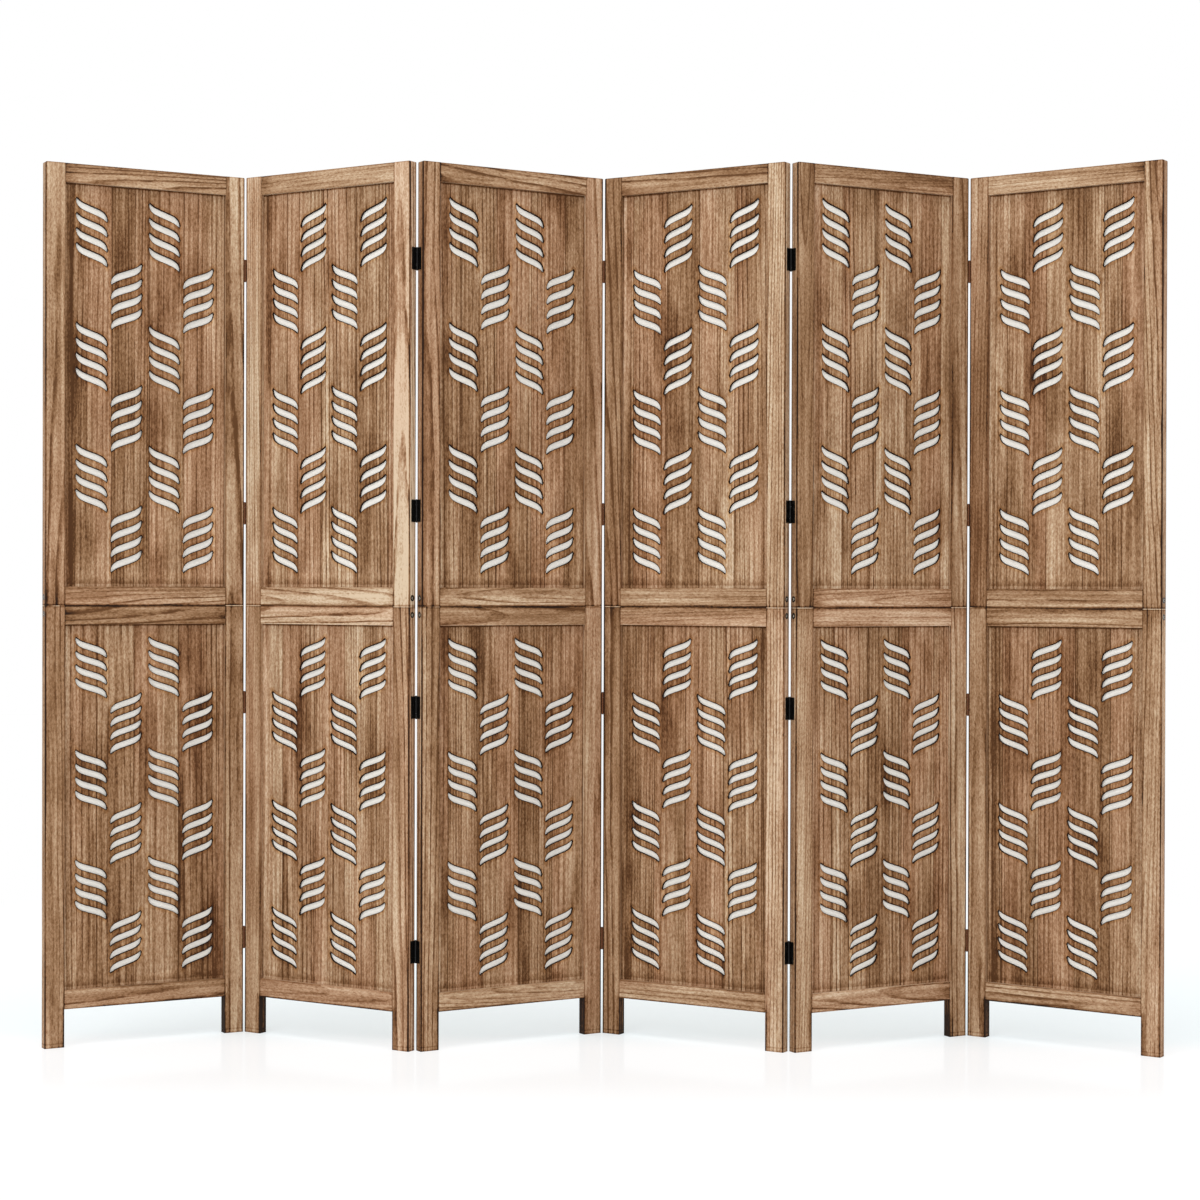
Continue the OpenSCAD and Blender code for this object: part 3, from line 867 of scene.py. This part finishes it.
def select_where(piece, kind, test):
    """In edit mode, selects just the vertices or edges whose middle passes the test."""
    take(piece)
    switch("EDIT")
    bpy.ops.mesh.select_mode(type={"vertices": "VERT", "edges": "EDGE"}[kind])
    bpy.ops.mesh.select_all(action="DESELECT")
    switch("OBJECT")
    points = piece.data.vertices
    for item in getattr(piece.data, kind):
        if kind == "vertices":
            item.select = test(item.co, item)
        else:
            corners = [points[i].co for i in item.vertices]
            item.select = test(sum(corners, Vector()) / len(corners), item)
    switch("EDIT")


def face_outwards(piece):
    """Turns all faces of a closed piece outwards."""
    take(piece)
    switch("EDIT")
    bpy.ops.mesh.select_all(action="SELECT")
    bpy.ops.mesh.normals_make_consistent(inside=False)
    switch("OBJECT")


def block(name, low, high):
    """A box between two corners, its place written into its mesh."""
    clear_selection()
    low, high = Vector(low), Vector(high)
    bpy.ops.mesh.primitive_cube_add(size=1, location=(low + high) / 2)
    made = just_made(name)
    made.scale = high - low
    settle(made)
    return made


# ---- Boards ----

# Stations along half a slit, closer together where its tips bend
SLIT_STATIONS = 9
# Share of a slit's width that is left at its very tip
THINNEST_TIP = 0.004


def slit_cutter(context, flatter, depth):
    """One slit as a closed wave-shaped prism, drawn around the origin in the leaf's plane."""
    boards = context.scene.screen_boards
    clear_selection()
    half = boards.slit_length / 2
    steps = 2 * SLIT_STATIONS
    bpy.ops.mesh.primitive_grid_add(x_subdivisions=steps, y_subdivisions=1, size=2)
    made = bpy.context.object
    made.scale = (half, boards.slit_width * flatter / 2, 1)
    made.rotation_euler = (math.pi / 2, 0, 0)
    settle(made)
    for step in range(-SLIT_STATIONS, SLIT_STATIONS + 1):
        even = step / SLIT_STATIONS
        t = math.copysign(1 - (1 - abs(even)) ** 2, step)
        width = max(math.sqrt(1 - abs(t) ** TIP_POWER), THINNEST_TIP)
        hook = math.copysign(abs(t) ** HOOK_POWER, t)
        fall = -boards.slit_fall / 2 * t - boards.slit_hook / 2 * hook
        start = even * half
        select_where(made, "vertices", lambda co, _: abs(co.x - start) < half / steps / 2)
        bpy.ops.transform.resize(value=(1, 1, width), center_override=(start, 0, 0))
        bpy.ops.transform.translate(value=(0, 0, fall * flatter))
        switch("OBJECT")
    space_stations(made, half)
    take(made)
    switch("EDIT")
    bpy.ops.mesh.select_all(action="SELECT")
    bpy.ops.mesh.extrude_region_move(TRANSFORM_OT_translate={"value": (0, depth, 0)})
    switch("OBJECT")
    face_outwards(made)
    return made


def space_stations(made, half):
    """Moves the evenly spaced stations of a slit to where its outline bends."""
    for vertex in made.data.vertices:
        even = vertex.co.x / half
        vertex.co.x = math.copysign(1 - (1 - abs(even)) ** 2, even) * half


def slit_field(context, section):
    """All slits of a board as one cutter, around the middle of its opening."""
    boards = context.scene.screen_boards
    layout = slit_layout(context, section)
    pitch = layout["pitch"]
    columns = boards.outer_column + boards.inner_column
    falling = slit_cutter(context, layout["flatter"], 3 * boards.board_depth)
    repeat(falling, boards.group, (0, 0, -pitch))
    rising = copy_of(falling, "rising")
    rising.scale = (-1, 1, 1)
    settle(rising)
    face_outwards(rising)
    cutters = []
    for number, height in enumerate(layout["rows"]):
        odd = number % 2 == 1
        made = copy_of(rising if odd else falling, f"row_{number}")
        start = -boards.inner_column if odd else -boards.outer_column
        made.location = (start, 0, height + (boards.group - 1) / 2 * pitch)
        settle(made)
        repeat(made, 2, (columns, 0, 0))
        cutters.append(made)
    bpy.data.objects.remove(falling)
    bpy.data.objects.remove(rising)
    take(cutters[0])
    for made in cutters:
        made.select_set(True)
    bpy.ops.object.join()
    return cutters[0]


def pierced_board(context, section):
    """The board of an odd leaf's section, around the middle of its opening."""
    sizes, boards = context.scene.screen_frame, context.scene.screen_boards
    height = opening(sizes, section)[0]
    half_width = sizes.leaf_width / 2 - sizes.stile_width + boards.board_lap
    half_height = height / 2 + boards.board_lap
    front, back = sizes.front_lip, sizes.front_lip + boards.board_depth
    cutter = slit_field(context, section)
    cutter.location = (0, front - boards.board_depth, 0)
    settle(cutter)
    made = block(
        f"{section}_board", (-half_width, front, -half_height), (half_width, back, half_height)
    )
    apply_modifier(made, "BOOLEAN", object=cutter, operation="DIFFERENCE", solver="EXACT")
    bpy.data.objects.remove(cutter)

    def on_rim(middle, edge):
        ends = [made.data.vertices[i].co for i in edge.vertices]
        inside = abs(middle.x) < half_width - MM and abs(middle.z) < half_height - MM
        flat = all(abs(end.y - front) < 0.01 * MM for end in ends)
        return inside and flat and edge.index in rims

    rims = rim_edges(made)
    select_where(made, "edges", on_rim)
    bpy.ops.mesh.bevel(offset=boards.rim, segments=2, affect="EDGES", clamp_overlap=True)
    switch("OBJECT")
    bpy.ops.object.shade_smooth_by_angle(angle=math.radians(35))
    return made


def rim_edges(made):
    """Edges where a face of the board meets the wall of a slit."""
    faces_at = {}
    for face in made.data.polygons:
        for key in face.edge_keys:
            faces_at.setdefault(key, []).append(abs(face.normal.y) > 0.5)
    return {edge.index for edge in made.data.edges if len(set(faces_at[edge.key])) == 2}


def put_on_leaf(piece, matrix, body, node):
    """Moves a piece drawn in the leaf's own frame to its leaf, and tells the frame of it."""
    piece.matrix_world = matrix
    settle(piece)
    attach(piece, body)
    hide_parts(node)


class DIVIDER_OT_boards(bpy.types.Operator):
    """Cuts the twelve boards with their wave-shaped slits and scorches them"""

    bl_idname = "divider.boards"
    bl_label = "Pierced Boards"

    def execute(self, context):
        sizes = context.scene.screen_frame
        places = leaf_places(sizes)
        for section in SECTIONS:
            middle = Vector((sizes.leaf_width / 2, 0, opening(sizes, section)[1]))
            model = pierced_board(context, section)
            for leaf in LEAVES:
                made = copy_of(model, f"leaf_{leaf}_{section}_pierced_board")
                if leaf % 2 == 0:
                    made.scale = (-1, 1, 1)
                    settle(made)
                    face_outwards(made)
                made.location = middle
                settle(made)
                node = f"leaf_{leaf}_{section}_board"
                put_on_leaf(made, places[leaf], f"leaf_{leaf}", node)
                give(made, board_material(context, leaf, section, places[leaf]))
            bpy.data.objects.remove(model)
        return {"FINISHED"}


# ---- Cloth ----

# Meshes across and up a sheet, the width of its border over which the slack grows, the size of
# its folds, and its distance from the board
SHEET_PARTS = (40, 90)
SLACK_BORDER, FOLD_SIZE, BOARD_GAP = 60 * MM, 0.16, 0.05 * MM


def cloth_sheet(context, section):
    """The stretched cloth of a section, with a little slack between its held edges."""
    sizes, boards = context.scene.screen_frame, context.scene.screen_boards
    height, middle = opening(sizes, section)
    width = sizes.leaf_width - 2 * sizes.stile_width + 2 * boards.cloth_lap
    height = height + 2 * boards.cloth_lap
    clear_selection()
    columns, rows = SHEET_PARTS
    bpy.ops.mesh.primitive_grid_add(x_subdivisions=columns, y_subdivisions=rows, size=1)
    made = just_made(f"{section}_cloth")
    made.scale = (width, height, 1)
    made.rotation_euler = (math.pi / 2, 0, 0)
    settle(made)
    flat = made.data.uv_layers[0]
    flat.name = "threads"
    for loop in made.data.loops:
        point = made.data.vertices[loop.vertex_index].co
        flat.data[loop.index].uv = (point.x, point.z)
    loose = made.vertex_groups.new(name="loose")
    for vertex in made.data.vertices:
        from_edge = min(width / 2 - abs(vertex.co.x), height / 2 - abs(vertex.co.z))
        free = min(max((from_edge - 2 * boards.cloth_lap) / SLACK_BORDER, 0), 1)
        loose.add([vertex.index], free * free * (3 - 2 * free), "REPLACE")
    folds = bpy.data.textures.new(f"{section}_folds", "CLOUDS")
    folds.noise_scale = FOLD_SIZE
    folds.noise_depth = 1
    along_y = {"texture_coords": "LOCAL", "direction": "Y", "vertex_group": "loose"}
    slack = {"mid_level": 0.0, "strength": boards.cloth_slack}
    apply_modifier(made, "DISPLACE", texture=folds, **along_y, **slack)
    apply_modifier(made, "SOLIDIFY", thickness=boards.cloth_depth, offset=0)
    behind = made.data.attributes.new("behind", "FLOAT", "FACE")
    for face in made.data.polygons:
        behind.data[face.index].value = face.normal.y > 0.5
    bpy.ops.object.shade_smooth_by_angle(angle=math.radians(40))
    made.vertex_groups.clear()
    lift = sizes.front_lip + boards.board_depth + boards.cloth_depth / 2 + BOARD_GAP
    made.location = (sizes.leaf_width / 2, lift, middle)
    settle(made)
    return made, (width, height)


class DIVIDER_OT_cloths(bpy.types.Operator):
    """Stretches the white cloths behind the boards"""

    bl_idname = "divider.cloths"
    bl_label = "Backing Cloths"

    def execute(self, context):
        places = leaf_places(context.scene.screen_frame)
        cotton = cloth_material(context)
        for section in SECTIONS:
            model, flat = cloth_sheet(context, section)
            for leaf in LEAVES:
                made = copy_of(model, f"leaf_{leaf}_{section}_cloth")
                put_on_leaf(made, places[leaf], f"leaf_{leaf}", f"leaf_{leaf}_cloths")
                give(made, cotton)
            bpy.data.objects.remove(model)
        return {"FINISHED"}


# ---- Frames and metal, whose CAD shapes stay ----


class DIVIDER_OT_frames(bpy.types.Operator):
    """Gives the stiles and rails their scorched wood, each piece with its own tone and grain"""

    bl_idname = "divider.frames"
    bl_label = "Stiles and Rails"

    def execute(self, context):
        places = leaf_places(context.scene.screen_frame)
        for leaf in LEAVES:
            stile = stile_material(context, leaf, places[leaf])
            rail = rail_material(context, leaf, places[leaf])
            for section in SECTIONS:
                give(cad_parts[f"leaf_{leaf}_{section}_stiles"], stile)
                give(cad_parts[f"leaf_{leaf}_{section}_rails"], rail)
        return {"FINISHED"}


class DIVIDER_OT_hardware(bpy.types.Operator):
    """Finishes the hinges, their pins, the screws, cam locks, bolts and dowels"""

    bl_idname = "divider.hardware"
    bl_label = "Hinges and Fasteners"

    def execute(self, context):
        sizes, finishes = context.scene.screen_frame, context.scene.screen_finishes
        places = leaf_places(sizes)
        bare = paint(150, 146, 138)
        bronze = metal_material("bronze_pin", finishes.bronze, bare, 0.7, 0.36, finishes.wear)
        for leaf in LEAVES:
            black = metal_material(
                f"black_hinge_{leaf}", finishes.black, bare, 0.35, 0.3, finishes.wear,
                knuckle_marks(finishes, places[leaf]),
            )
            zinc = metal_material(
                f"zinc_plate_{leaf}", finishes.zinc, paint(120, 112, 98), 0.5, 0.34, 0.6,
                cam_marks(sizes, finishes, places[leaf]),
            )
            give(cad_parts[f"leaf_{leaf}_hinge_plates"], black)
            give(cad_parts[f"leaf_{leaf}_fasteners"], zinc)
        for fold in LEAVES[:-1]:
            give(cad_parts[f"fold_{fold}_pins"], bronze)
        return {"FINISHED"}


# ---- Studio ----

WHITE, WARM_LIGHT = (1, 1, 1, 1), (1.0, 0.99, 0.975)


def ray_mask(place):
    """1 for rays from the camera, from a reflection or through glass, else 0."""
    rays = place.node("ShaderNodeLightPath", output="Is Camera Ray")
    seen = rays.math("MAXIMUM", rays.out("Is Glossy Ray"))
    return seen.math("MAXIMUM", rays.out("Is Transmission Ray"))


def floor_material(context):
    """White floor that keeps the screen's soft shadow and a faint reflection of it, with painted
    shade behind the screen and painted light in front of it.
    """
    studio = context.scene.screen_studio
    material, place = start_material("white_floor")
    cloud = place.noise(0.6, 2).fade(0.3, 0.7, 0.97, 1.0)
    x, y, _ = place.parts(XYZ)
    far = ((x * x + y * y) ** 0.5).fade(1.3, 2.8)
    # Painted shade: the floor behind the screen is tinted bluish grey, while the floor in front
    # and far off is white
    front = y.fade(-0.1, 0.1, 1, 0)
    white = front.math("MAXIMUM", far).tint(
        cloud.tint(paint(240, 247, 250), paint(246, 252, 254)), WHITE
    )
    matt = place.node("ShaderNodeBsdfDiffuse", None, {"Color": white})
    shine = place.node("ShaderNodeBsdfGlossy", None, {"Color": white, "Roughness": 0.12})
    glow = place.node("ShaderNodeEmission", None, {"Color": white, "Strength": 1.0})
    # Painted light: the floor glows more in front of the screen, which lifts the screen's shade
    # there
    own_white = (front * 0.35 + studio.floor_glow).math("MAXIMUM", far) * ray_mask(place)
    lit = place.node("ShaderNodeMixShader", None, {0: own_white, 1: matt, 2: glow})
    near = y.fade(-0.62, -0.34) * studio.floor_shine
    both = place.node("ShaderNodeMixShader", None, {0: near, 1: lit, 2: shine})
    place.node("ShaderNodeOutputMaterial", None, {"Surface": both})
    return material


def white_world(context):
    """Even light from all sides, which the camera sees as plain white."""
    world = bpy.data.worlds.new("white_studio")
    world.use_nodes = True
    world.node_tree.nodes.clear()
    wire = Wire(world.node_tree)
    strength = ray_mask(wire).fade(0, 1, context.scene.screen_studio.sky, 1)
    light = wire.node("ShaderNodeBackground", None, {"Color": WHITE, "Strength": strength})
    wire.node("ShaderNodeOutputWorld", None, {"Surface": light})
    context.scene.world = world


def area_lamp(name, place, aim, size, power, shade):
    """A soft rectangular lamp that looks from its place to its aim."""
    clear_selection()
    bpy.ops.object.light_add(type="AREA", location=place)
    lamp = bpy.context.object
    lamp.name = name
    lamp.rotation_euler = (Vector(aim) - Vector(place)).to_track_quat("-Z", "Y").to_euler()
    lamp.data.shape = "RECTANGLE"
    lamp.data.size, lamp.data.size_y = size
    lamp.data.energy = power
    lamp.data.color = shade


class DIVIDER_OT_studio(bpy.types.Operator):
    """Sets up the floor, the light and the camera"""

    bl_idname = "divider.studio"
    bl_label = "Studio"

    def execute(self, context):
        studio = context.scene.screen_studio
        clear_selection()
        bpy.ops.mesh.primitive_plane_add(size=24, location=(0, 0, -0.2 * MM))
        floor = just_made("studio_floor")
        settle(floor)
        give(floor, floor_material(context))
        white_world(context)
        area_lamp("key_lamp", (-3.2, -4.2, 4.6), (0, 0, 0.8), (3.0, 2.2), studio.key, WARM_LIGHT)
        area_lamp("overhead_lamp", (0, -1.5, 6), (0, 0, 0), (4.5, 2.0), studio.overhead, WHITE[:3])
        bpy.ops.object.camera_add()
        camera = bpy.context.object
        camera.name = "view_camera"
        self.aim(camera, studio)
        context.scene.camera = camera
        context.scene.view_settings.view_transform = "Standard"
        return {"FINISHED"}

    @staticmethod
    def aim(camera, studio):
        yaw, pitch, roll = studio.camera_yaw, studio.camera_pitch, studio.camera_roll
        across, along = math.sin(yaw) * math.cos(pitch), math.cos(yaw) * math.cos(pitch)
        ahead = Vector((across, along, math.sin(pitch)))
        level = Vector((math.cos(yaw), -math.sin(yaw), 0))
        above = level.cross(ahead)
        right = math.cos(roll) * level + math.sin(roll) * above
        upward = math.cos(roll) * above - math.sin(roll) * level
        turn = Matrix((right, upward, -ahead)).transposed()
        camera.matrix_world = Matrix.Translation(studio.camera_place) @ turn.to_4x4()
        camera.data.lens = studio.lens
        camera.data.sensor_width = 36
        camera.data.clip_end = 100


# ---- Panel and registration ----

OPERATORS = (
    DIVIDER_OT_frames,
    DIVIDER_OT_boards,
    DIVIDER_OT_cloths,
    DIVIDER_OT_hardware,
    DIVIDER_OT_studio,
)
GROUPS = (
    ("screen_frame", ScreenFrame),
    ("screen_boards", ScreenBoards),
    ("screen_finishes", ScreenFinishes),
    ("screen_studio", ScreenStudio),
)


class DIVIDER_PT_panel(bpy.types.Panel):
    """The screen's steps, in the order in which they are made"""

    bl_idname = "DIVIDER_PT_panel"
    bl_label = "Folding Screen"
    bl_space_type = "VIEW_3D"
    bl_region_type = "UI"
    bl_category = "Folding Screen"

    def draw(self, context):
        for operator in OPERATORS:
            self.layout.operator(operator.bl_idname)
        for name, group in GROUPS:
            box = self.layout.box()
            box.label(text=group.__doc__)
            for field in group.__annotations__:
                box.prop(getattr(context.scene, name), field)


def register():
    for name, group in GROUPS:
        bpy.utils.register_class(group)
        setattr(bpy.types.Scene, name, PointerProperty(type=group))
    for operator in OPERATORS:
        bpy.utils.register_class(operator)
    bpy.utils.register_class(DIVIDER_PT_panel)


def unregister():
    bpy.utils.unregister_class(DIVIDER_PT_panel)
    for operator in reversed(OPERATORS):
        bpy.utils.unregister_class(operator)
    for name, group in reversed(GROUPS):
        delattr(bpy.types.Scene, name)
        bpy.utils.unregister_class(group)


def main():
    register()
    bpy.ops.divider.frames()
    bpy.ops.divider.boards()
    bpy.ops.divider.cloths()
    bpy.ops.divider.hardware()
    bpy.ops.divider.studio()


if __name__ == "__main__":
    main()
